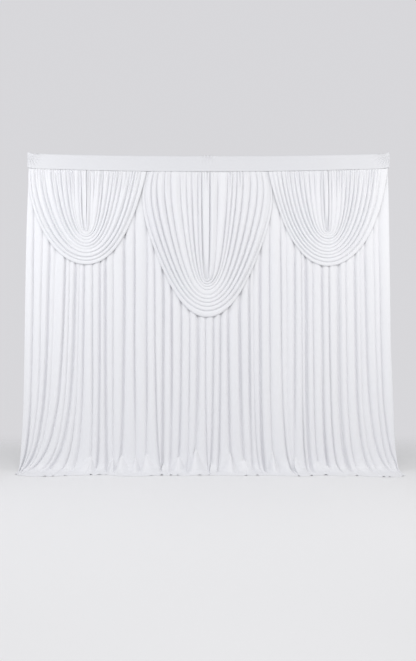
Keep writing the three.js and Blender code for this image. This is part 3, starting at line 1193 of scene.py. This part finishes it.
def curtain_lines(hang, down, hems):
    """Place, depth and shape of each crease on one row, with the two side edges."""
    settings = bpy.context.scene.drapery.curtain
    height = hang["height"](down)
    lean = hang["lean"](down)
    back = hang["back"](down)
    low_share = ease((LOW["height"] - height) / LOW["over"])
    foot_share = ease((FOOT["height"] - height) / FOOT["over"])
    open_depth = mix(settings.depth, settings.foot_depth, foot_share)
    free = ease(down / FREE_DOWN)
    edge = {"depth": 0.0, "flat": 0.0, "skew": 0.0, "flare": 0.0, "side": 0.5}
    lines = [{"x": hang["left"](down), **edge}]
    for i, crease in enumerate(CREASES):
        stray = settings.wander * free * curtain_noise("stray", i, down)
        depth = open_depth * crease["depth"] * mix(1.0, crease["low"], low_share) * back
        depth *= 1 + DEPTH_CHANGE * free * curtain_noise("depth", i, down)
        x = crease["x"] + crease["lean"] * lean + stray
        away = hems.find((x, 0.0, FLOOR_Z + height))[2]
        depth *= 1 - HEM_PRESS * bell(away, HEM_NEAR)
        line = {"x": x, "depth": depth}
        line["flat"] = settings.flat * crease["depth"] * (crease["depth"] / USUAL_DEPTH) ** 2 * back
        line["skew"] = SKEW_MOST * curtain_noise("skew", i, down)
        line["flare"] = crease["flare"]
        line["side"] = crease["side"]
        lines.append(line)
    lines.append({"x": hang["right"](down), **edge})
    for before, line in zip(lines, lines[1:-1]):
        line["x"] = max(line["x"], before["x"] + FOLD_LEAST)
    for after, line in zip(lines[::-1], lines[-2:0:-1]):
        line["x"] = min(line["x"], after["x"] - FOLD_LEAST)
    return lines


def flare_drop(left, right, share, height):
    """How far the cloth at a share across a fold is below the opening of a flare, or 0 outside one."""
    left_pull = left["flare"] * left["side"]
    right_pull = right["flare"] * (1 - right["side"])
    if left_pull + right_pull == 0:
        return 0.0
    point = clamp(left_pull / (left_pull + right_pull), FLARE["least"], 1 - FLARE["least"])
    most = 0.0
    for line, away, reach in ((left, share, point), (right, 1 - share, 1 - point)):
        drop = line["flare"] - height
        if drop > 0:
            across = clamp(away * line["flare"] / (reach * drop))
            most = max(most, drop * (1 - across**2))
    return most


def lying_turn(hang, down):
    """Angle by which the cloth has turned from hanging to lying."""
    ahead = hang["forward"](down + TURN_STEP) - hang["forward"](down - TURN_STEP)
    lower = hang["height"](down - TURN_STEP) - hang["height"](down + TURN_STEP)
    return math.atan2(ahead, lower)


def crease_share(away, flat, reach):
    """Share of a crease's depth at a distance from it: whole over its flat, then fading over its reach."""
    share = clamp((away - flat) / reach)
    return (1 - share) ** 2 * (1 + SLOPE_ROUND * share)


def curtain_columns():
    """Folds and shares across them where the curtain has a column of points, closer at the creases."""
    places = [COLUMN_EDGES[0]] + column(CREASES, "x") + [COLUMN_EDGES[1]]
    columns = []
    for fold, (here, there) in enumerate(zip(places, places[1:])):
        steps = int(clamp(round((there - here) / COLUMN_WIDTH), COLUMNS_LEAST, COLUMNS_MOST))
        for step in range(steps):
            even = step / steps
            columns.append((fold, mix(even, 0.5 - 0.5 * math.cos(math.pi * even), 0.5)))
    columns.append((len(places) - 2, 1.0))
    return columns


def curtain_points(hang, downs, columns):
    """All points of the curtain, in rows from the seam."""
    settings = bpy.context.scene.drapery.curtain
    hem = smooth_curve(column(HEM, "x"), column(HEM, "forward"))
    hems = hem_places()
    floor_forward = HANG[-1]["forward"]
    points = []
    for down in downs:
        height = hang["height"](down)
        forward = hang["forward"](down)
        back = hang["back"](down)
        lines = curtain_lines(hang, down, hems)
        ahead_share = clamp((floor_forward - forward) / (floor_forward - FLARE["forward"]))
        turn = lying_turn(hang, down)
        bow = clamp(1 - down / BOW_DOWN)
        lift = ease(1 - (downs[-1] - down) / LIFT_LENGTH)
        gathered = 1 - ease((down - CURTAIN_GATHERS["start"]) / CURTAIN_GATHERS["fade"])
        row = []
        for fold, share in columns:
            left, right = lines[fold], lines[fold + 1]
            width = right["x"] - left["x"]
            x = left["x"] + share * width
            reach = clamp(0.5 * width - left["flat"] - right["flat"], REACH_LEAST, settings.reach)
            near_left = crease_share(share * width, left["flat"], reach * (1 + left["skew"]))
            near_right = crease_share((1 - share) * width, right["flat"], reach * (1 - right["skew"]))
            flared = flare_drop(left, right, share, height)
            shared = 0.5 * (left["depth"] + right["depth"]) * near_left * near_right
            depth = left["depth"] * near_left + right["depth"] * near_right - shared
            depth *= 1 - ease(flared / FLARE["fade"])
            crest = settings.bulge * width * (1 - (2 * share - 1) ** 2) * back
            change = CREST_CHANGE * back * curtain_noise("crest", x, down)
            crest += change * (1 - near_left) * (1 - near_right)
            tilt = settings.tilt * curtain_noise("tilt", fold, down) * (share - 0.5) * width * back
            crest += tilt * (1 - near_left) * (1 - near_right)
            stray = CURTAIN_GATHERS["stray"] * curtain_noise("gathers", x, down)
            gathers = math.sin(2 * math.pi * x / CURTAIN_GATHERS["pitch"] + stray)
            relief = crest - depth - gathers * (settings.gather * gathered)
            ahead = forward + FLARE["slope"] * flared * ahead_share
            spread = ease((ahead - SPREAD["forward"]) / SPREAD["over"])
            y = -ahead * mix(1.0, hem(x) / floor_forward, spread) - relief * math.cos(turn)
            z = FLOOR_Z + height + relief * math.sin(turn)
            z += (seam_top(x) - seam_top(0)) * bow
            z += hem_lift(x) * lift
            row.append(Vector((x, y, max(z, FLOOR_Z + FLOOR_GAP))))
        points.append(row)
    return points


def make_curtain():
    """The gathered curtain, from the seam to the hem that lies on the floor."""
    settings = bpy.context.scene.drapery
    hang, length = curtain_hang()
    downs = row_downs(length)
    columns = curtain_columns()
    points = curtain_points(hang, downs, columns)
    middle = points[len(points) // 2]
    across = lengths_along(middle)
    cut = [[(place, -down) for place in across] for down in downs]
    mesh = bmesh.new()
    lay_cloth(mesh, points, cut)
    material = cloth_material("Curtain cloth", settings.cloth.curtain_colour, CURTAIN_CRINKLE)
    piece = finished_object("curtain_drop", mesh, material)
    thicken(piece, settings.curtain.thickness)
    return piece, (across[-1], length)


# Swags
def chain_span(slope):
    """Half-span of a hanging chain in units of its own curve, from its drop over its half-span."""
    low, high = CHAIN_SPANS
    for _ in range(CHAIN_HALVINGS):
        span = (low + high) / 2
        if math.cosh(span) - 1 < slope * span:
            low = span
        else:
            high = span
    return low


def swag_rows(folds, ridge_place):
    """Rows of a swag from heart to hem: which fold, the share across it and the shape of its ridge."""
    rows = []
    for step in range(HEART_STEPS):
        share = (step / HEART_STEPS) ** 2
        row = {name: mix(HEART[name], folds[0][name], share) for name in HEART}
        rows.append({**row, "fold": -1, "share": share, "ridge": (1 - share**HEART_EDGE) ** RIDGE_SHARP})
    for i, (fold, after) in enumerate(zip(folds, folds[1:])):
        for step in range(FOLD_STEPS):
            share = step / FOLD_STEPS
            row = {name: mix(fold[name], after[name], share) for name in HEART}
            top = ridge_place if i else TIP["ridge"]
            if share < top:
                turn = 0.5 * share / top
            else:
                turn = 1 - 0.5 * (1 - share) / (1 - top)
            ridge = math.sin(math.pi * turn) ** RIDGE_SHARP
            rows.append({**row, "fold": i, "share": share, "ridge": ridge})
    hem = {name: folds[-1][name] for name in HEART}
    rows.append({**hem, "fold": len(folds) - 2, "share": 1.0, "ridge": 0.0})
    return rows


def step_rise(step):
    """Share of a crease's height that is reached at a step from the middle."""
    return math.sin(math.pi / 2 * step / SWAG_STEPS) ** 2


def swag_place(swag, row, step):
    """Place of a swag's row at a step from its middle, how far below the seam and how far outwards."""
    side = "left" if step < 0 else "right"
    sign = -1 if step < 0 else 1
    rise = step_rise(step)
    half = row[side]
    outward = half / swag["folds"][-1][side]
    span = chain_span(row["drop"] / half)
    chain = math.acosh(1 + rise * (math.cosh(span) - 1)) / span
    square = mix(BOWL["heart"], BOWL["outer"], ease(outward / BOWL["outward"]))
    bowl = (1 - (1 - rise) ** square) ** (1 / square)
    swell = swag["swell"][side] * outward**2 * SWELL_SCALE * rise**3 * (1 - rise)
    heart, halfway, hem = swag["round"][side]
    roundness = mix(mix(heart, halfway, ease(outward / ROUND_OUTWARD)), hem, outward**4)
    start = seam_top(swag["middle"] + sign * half)
    lowest = seam_top(swag["middle"]) - row["drop"]
    x = swag["middle"] + sign * half * (mix(chain, bowl, roundness) + swell)
    below = (start - lowest) * (1 - rise)
    return {"x": x, "z": mix(lowest, start, rise), "below": below, "rise": rise, "outward": outward}


def crease_gaps(swag):
    """Distance from each crease of a swag to the next, at each step."""
    steps = range(-SWAG_STEPS, SWAG_STEPS + 1)
    creases = [[swag_place(swag, row, step) for step in steps] for row in swag["folds"]]
    gaps = []
    for inner, outer in zip(creases, creases[1:]):
        gaps.append([])
        for i, (here, there) in enumerate(zip(inner, outer)):
            before, after = inner[max(i - 1, 0)], inner[min(i + 1, len(inner) - 1)]
            along = Vector((after["x"] - before["x"], after["z"] - before["z"])).normalized()
            across = Vector((there["x"] - here["x"], there["z"] - here["z"]))
            gaps[-1].append(abs(along.x * across.y - along.y * across.x))
    return gaps


def filled(fold, rise):
    """How far a crease has faded out at a share of its height."""
    return fold["fill"] * ease((FILL["rise"] - rise) / FILL["over"])


def fold_heights(swag, seed):
    """Height of each fold of a swag at each step."""
    settings = bpy.context.scene.drapery.swag
    folds = swag["folds"]
    gaps = crease_gaps(swag)
    heights = []
    for i, fold in enumerate(folds[:-1]):
        heights.append([])
        for k, gap in enumerate(gaps[i]):
            step = k - SWAG_STEPS
            rise = step_rise(step)
            if i > 0:
                gap += filled(fold, rise) * gaps[i - 1][k]
            if i + 2 < len(folds):
                gap += filled(folds[i + 1], rise) * gaps[i + 1][k]
            uneven = waver(FOLD_NOISE["fold"] * i, FOLD_NOISE["along"] * step / SWAG_STEPS, seed)
            change = 1 + settings.unevenness * uneven
            low = mix(1.0, fold["low"], (1 - rise) ** LOW_POWER)
            heights[-1].append(min(swag["relief"], settings.fullness * gap) * fold["depth"] * change * low)
    return heights


def fold_relief(swag, heights, row, step, rise):
    """Relief of a swag's fold at a step, before the seam holds it flat."""
    i = row["fold"]
    share = row["share"]
    if i < 0:
        tip = ease((share - 1 + TIP["length"] / row["drop"]) * row["drop"] / TIP["length"])
        sunk = TIP["depth"] * tip * ease((TIP["rise"] - rise) / TIP["fade"])
        return swag["relief"] * row["ridge"] - sunk
    k = step + SWAG_STEPS
    here = heights[i][k]
    if share < 0.5:
        edge = 0.5 * (here + heights[max(i - 1, 0)][k])
        height = mix(edge, here, 2 * share)
    else:
        edge = 0.5 * (here + heights[min(i + 1, len(heights) - 1)][k])
        height = mix(here, edge, 2 * share - 1)
    folds = swag["folds"]
    base = mix(filled(folds[i], rise), filled(folds[i + 1], rise), share)
    return height * mix(row["ridge"], 1.0, base)


def hem_rest(curtain, x, z):
    """How far forward a hem lies where it rests on the curtain's crests, or None beside the curtain."""
    fronts = []
    for aside in HEM_PROBES:
        front = curtain.ray_cast(Vector((x + aside, PROBE_START, z)), Vector((0.0, 1.0, 0.0)))[0]
        if front:
            fronts.append(front.y)
    return min(fronts) - HEM_REST if fronts else None


def hem_shifts(swag, stands, curtain):
    """How far back the hem of a swag settles on the curtain, at each step."""
    shifts = []
    for step, stand in zip(range(-SWAG_STEPS, SWAG_STEPS + 1), stands):
        place = swag_place(swag, swag["folds"][-1], step)
        rest = hem_rest(curtain, place["x"], place["z"])
        if rest is None:
            shifts.append(0.0)
        else:
            start = swag["settle"]["left" if step < 0 else "right"]
            shifts.append((rest - stand) * ease((place["below"] - start) / SETTLE_OVER))
    smooth = []
    for i in range(len(shifts)):
        near = shifts[max(i - SETTLE_STEPS, 0) : i + SETTLE_STEPS + 1]
        smooth.append(sum(near) / len(near))
    return smooth


def swag_stand(swag, fall, place):
    """How far forward the creases of a swag lie, and the share left where its ends are tucked."""
    below = place["below"]
    started = ease((below + TUCK["above"]) / TUCK["start"])
    fade = started * (1 - ease((below - TUCK["below"]) / TUCK["fade"]))
    tucked = ease((place["outward"] - TUCK["from"]) / (TUCK["whole"] - TUCK["from"]))
    held = 1 - swag["tuck"] * fade * tucked
    stand = swag["stand"] * fall["stand"](below) + swag["lead"] * ease(below / LEAD_BELOW)
    return swag["seat"] - stand * held, held


def split_depth(row, step, seed):
    """Depth of the short crease that splits a swag's fold in two just below the seam."""
    if row["fold"] < 0:
        return 0.0
    place = SPLIT_NOISE["fold"] * row["fold"] + (SPLIT_NOISE["side"] if step < 0 else 0.0)
    strength = clamp(SPLIT["usual"] + SPLIT["change"] * waver(place, seed))
    middle = 0.5 + SPLIT["stray"] * waver(place, seed, SPLIT_NOISE["stray"])
    return SPLIT["depth"] * strength * bell(row["share"] - middle, SPLIT["width"])


def sewn_share(place):
    """Share of the gathers at a place on a swag: none under the lip, far below it or at the hem."""
    below = place["below"]
    share = ease((below - LIP_BELOW) / SEWN["start"]) * (1 - ease(below / SEWN["fade"]))
    return share * (1 - ease((place["outward"] - SEWN["out"]) / SEWN["out_fade"]))


def gather_height(at, below, seed):
    """Height of a swag's gathers at a place along the seam, as a share of the setting."""
    stray = SWAG_GATHERS["stray"] * waver(SWAG_GATHERS["along"] * at, seed)
    wave = abs(math.sin(math.pi * at / SWAG_GATHERS["pitch"] + stray))
    height = SWAG_GATHERS["span"] * wave ** SWAG_GATHERS["sharp"] - SWAG_GATHERS["low"]
    change = waver(GATHER_CHANGE["along"] * at, GATHER_CHANGE["down"] * below, seed)
    return height * (1 + GATHER_CHANGE["most"] * change)


def swag_points(swag, seed, curtain):
    """All points of a swag, in rows from its heart to its hem, which rests on the curtain."""
    settings = bpy.context.scene.drapery.swag
    fall = smooth_columns(SWAG_FALL, "below")
    heights = fold_heights(swag, seed)
    steps = range(-SWAG_STEPS, SWAG_STEPS + 1)
    last = len(swag["folds"]) - 2
    hem = [swag_stand(swag, fall, swag_place(swag, swag["folds"][-1], step))[0] for step in steps]
    shifts = hem_shifts(swag, hem, curtain)
    points = []
    for row in swag_rows(swag["folds"], settings.ridge_place):
        hem_line = 0.0
        if row["fold"] == last:
            hem_line = HEM_LINE["depth"] * bell(row["share"] - HEM_LINE["place"], HEM_LINE["width"])
        settled = ((row["fold"] + 1 + row["share"]) / (last + 2)) ** SETTLE_POWER
        line = []
        for step, shift in zip(steps, shifts):
            place = swag_place(swag, row, step)
            below = place["below"]
            relief = fold_relief(swag, heights, row, step, place["rise"])
            droop = settings.droop * (1 - place["rise"]) ** 2 * relief / swag["relief"]
            relief *= fall["relief"](below)
            sewn = sewn_share(place)
            sewn_at = row["left" if step < 0 else "right"]
            relief += settings.gather * sewn * gather_height(sewn_at, below, seed)
            relief -= split_depth(row, step, seed) * sewn
            relief -= hem_line
            stand, held = swag_stand(swag, fall, place)
            y = stand - relief * held + shift * settled
            line.append(Vector((place["x"], y, place["z"] - droop)))
        points.append(line)
    return points


def swag_cut(points):
    """The cut of a swag: across the folds, and along each fold from the middle."""
    half = len(points[0]) // 2
    across = lengths_along([row[half] for row in points])
    cut = []
    for row, down in zip(points, across):
        along = lengths_along(row)
        cut.append([(down, place - along[half]) for place in along])
    return cut


def make_swag(name, seed, curtain):
    """One swag, from its heart at the seam to its hem."""
    settings = bpy.context.scene.drapery
    points = swag_points(SWAGS[name], seed, curtain)
    cut = swag_cut(points)
    mesh = bmesh.new()
    lay_cloth(mesh, points, cut)
    material = bpy.data.materials.get("Swag cloth")
    if material is None:
        material = cloth_material("Swag cloth", settings.cloth.swag_colour, SWAG_CRINKLE)
    piece = finished_object(name + "_drape", mesh, material)
    thicken(piece, settings.swag.thickness)
    return piece, points


# Stage
# Soft lights: setting of the power, place and target by their height over the floor, size and colour
LIGHTS = table(
    ("name", "power", "place", "target", "size", "colour"),
    ("Left light", "left_power", (-3.0, -1.9, 2.5), (0.0, 0.0, 2.0), (2.0, 1.6), (0.97, 0.98, 1.0)),
    ("Right light", "right_power", (3.0, -1.9, 2.35), (0.0, 0.0, 2.0), (2.0, 1.6), (1.0, 0.99, 0.97)),
    ("Top light", "top_power", (0.0, -6.3, 5.2), (0.0, -0.6, 0.8), (4.5, 4.5), (1.0, 1.0, 1.0)),
)
# Floor: squares along each side, half its side, and the place of its middle from front to back
FLOOR_SQUARES = 8
FLOOR_HALF = 9.0
FLOOR_MIDDLE = -5.5
# Camera: how far it is to the side, and the width of its sensor in millimetres
CAMERA_X = -0.004
SENSOR_WIDTH = 36.0


def over_floor(x, y, height):
    """A place given by its height over the floor."""
    return (x, y, FLOOR_Z + height)


def aim(thing, place, target):
    """Puts a light or camera at a place, looking at a target."""
    thing.location = place
    thing.rotation_euler = (Vector(target) - Vector(place)).to_track_quat("-Z", "Y").to_euler()


def make_light(light, power):
    """A large soft studio light, by its row in the table."""
    data = bpy.data.lights.new(light["name"], "AREA")
    data.shape = "RECTANGLE"
    data.size, data.size_y = light["size"]
    data.energy = power
    data.color = light["colour"]
    lamp = bpy.data.objects.new(light["name"], data)
    bpy.context.scene.collection.objects.link(lamp)
    aim(lamp, over_floor(*light["place"]), over_floor(*light["target"]))


def floor_material(colour):
    """Pale seamless floor that fades into the surroundings behind the backdrop."""
    material = bpy.data.materials.new("Studio floor")
    material.use_nodes = True
    tree = material.node_tree
    principled = tree.nodes["Principled BSDF"]
    principled.inputs["Roughness"].default_value = 0.8
    principled.inputs["Specular IOR Level"].default_value = 0.1
    place = add_node(tree, "ShaderNodeTexCoord")
    axes = add_node(tree, "ShaderNodeSeparateXYZ")
    tree.links.new(place.outputs["Object"], axes.inputs[0])
    behind = add_node(
        tree,
        "ShaderNodeMapRange",
        interpolation_type="SMOOTHSTEP",
        From_Min=0.15,
        From_Max=2.2,
        To_Min=1.0,
        To_Max=0.0,
    )
    tree.links.new(axes.outputs["Y"], behind.inputs["Value"])
    tree.links.new(behind.outputs["Result"], principled.inputs["Alpha"])
    cloud = add_node(tree, "ShaderNodeTexNoise", Scale=0.8, Detail=2.0)
    tree.links.new(place.outputs["Object"], cloud.inputs["Vector"])
    tones = mixed_colour(tree, cloud.outputs["Fac"], (*colour, 1.0), shaded(colour, FLOOR_SHADE))
    tree.links.new(tones, principled.inputs["Base Color"])
    return material


def make_floor(colour):
    """A wide level floor under the backdrop."""
    mesh = bmesh.new()
    bmesh.ops.create_grid(mesh, x_segments=FLOOR_SQUARES, y_segments=FLOOR_SQUARES, size=FLOOR_HALF)
    bmesh.ops.translate(mesh, verts=mesh.verts, vec=over_floor(0.0, FLOOR_MIDDLE, 0.0))
    return finished_object("studio_floor", mesh, floor_material(colour))


def make_surroundings(fill, air):
    """Pale space all round, which gives light of one colour and shows another behind the floor."""
    world = bpy.data.worlds.new("Pale studio")
    world.use_nodes = True
    tree = world.node_tree
    path = add_node(tree, "ShaderNodeLightPath")
    tones = mixed_colour(tree, path.outputs["Is Camera Ray"], (*fill, 1.0), (*air, 1.0))
    tree.links.new(tones, tree.nodes["Background"].inputs["Color"])
    return world


def make_camera(lens, distance, height):
    """A level camera in front of the backdrop."""
    data = bpy.data.cameras.new("Camera")
    data.lens = lens
    data.sensor_width = SENSOR_WIDTH
    camera = bpy.data.objects.new("Camera", data)
    bpy.context.scene.collection.objects.link(camera)
    aim(camera, over_floor(CAMERA_X, -distance, height), over_floor(CAMERA_X, 0.0, height))
    return camera


# Operators
class DRAPERY_OT_heading(Operator):
    """Make the rod-pocket heading"""

    bl_idname = "drapery.heading"
    bl_label = "Heading"

    def execute(self, context):
        piece = make_heading()
        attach(piece, "root")
        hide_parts("heading")
        return {"FINISHED"}


class DRAPERY_OT_curtain(Operator):
    """Make the gathered curtain"""

    bl_idname = "drapery.curtain"
    bl_label = "Curtain"

    def execute(self, context):
        piece, flat = make_curtain()
        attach(piece, "root")
        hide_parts("curtain")
        return {"FINISHED"}


class DRAPERY_OT_swags(Operator):
    """Make the three swags"""

    bl_idname = "drapery.swags"
    bl_label = "Swags"

    def execute(self, context):
        behind = bpy.data.objects["curtain_drop"]
        curtain = BVHTree.FromObject(behind, context.evaluated_depsgraph_get())
        for i, name in enumerate(SWAGS):
            piece, points = make_swag(name, FIRST_SEED + SEED_STEP * i, curtain)
            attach(piece, "root")
            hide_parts(name)
        return {"FINISHED"}


class DRAPERY_OT_stage(Operator):
    """Make the floor, the soft light and the camera"""

    bl_idname = "drapery.stage"
    bl_label = "Stage"

    def execute(self, context):
        scene = context.scene
        settings = scene.drapery.stage
        floor = make_floor(settings.floor_colour)
        for light in LIGHTS:
            make_light(light, getattr(settings, light["power"]))
        scene.world = make_surroundings(settings.fill_colour, settings.air_colour)
        scene.view_settings.view_transform = "Standard"
        scene.camera = make_camera(settings.lens, settings.camera_distance, settings.camera_height)
        return {"FINISHED"}


class DRAPERY_PT_panel(Panel):
    """Sizes, colours and the steps that build the backdrop"""

    bl_label = "Swagged drapery backdrop"
    bl_idname = "DRAPERY_PT_panel"
    bl_space_type = "VIEW_3D"
    bl_region_type = "UI"
    bl_category = "Drapery"

    def draw(self, context):
        settings = context.scene.drapery
        groups = (
            ("drapery.heading", settings.heading),
            ("drapery.curtain", settings.curtain),
            ("drapery.swags", settings.swag),
            ("drapery.stage", settings.stage),
            (None, settings.cloth),
        )
        for operator, group in groups:
            box = self.layout.box()
            if operator:
                box.operator(operator)
            for name in group.bl_rna.properties.keys():
                if name not in {"rna_type", "name"}:
                    box.prop(group, name)


CLASSES = (
    HeadingSettings,
    CurtainSettings,
    SwagSettings,
    ClothSettings,
    StageSettings,
    DraperySettings,
    DRAPERY_OT_heading,
    DRAPERY_OT_curtain,
    DRAPERY_OT_swags,
    DRAPERY_OT_stage,
    DRAPERY_PT_panel,
)


def register():
    """Adds the classes and the scene's settings."""
    for item in CLASSES:
        bpy.utils.register_class(item)
    bpy.types.Scene.drapery = PointerProperty(type=DraperySettings)


def unregister():
    """Takes the settings and the classes away again."""
    del bpy.types.Scene.drapery
    for item in reversed(CLASSES):
        bpy.utils.unregister_class(item)


def main():
    """Builds every piece and the stage."""
    register()
    bpy.ops.drapery.stage()
    bpy.ops.drapery.heading()
    bpy.ops.drapery.curtain()
    bpy.ops.drapery.swags()


if __name__ == "__main__":
    main()
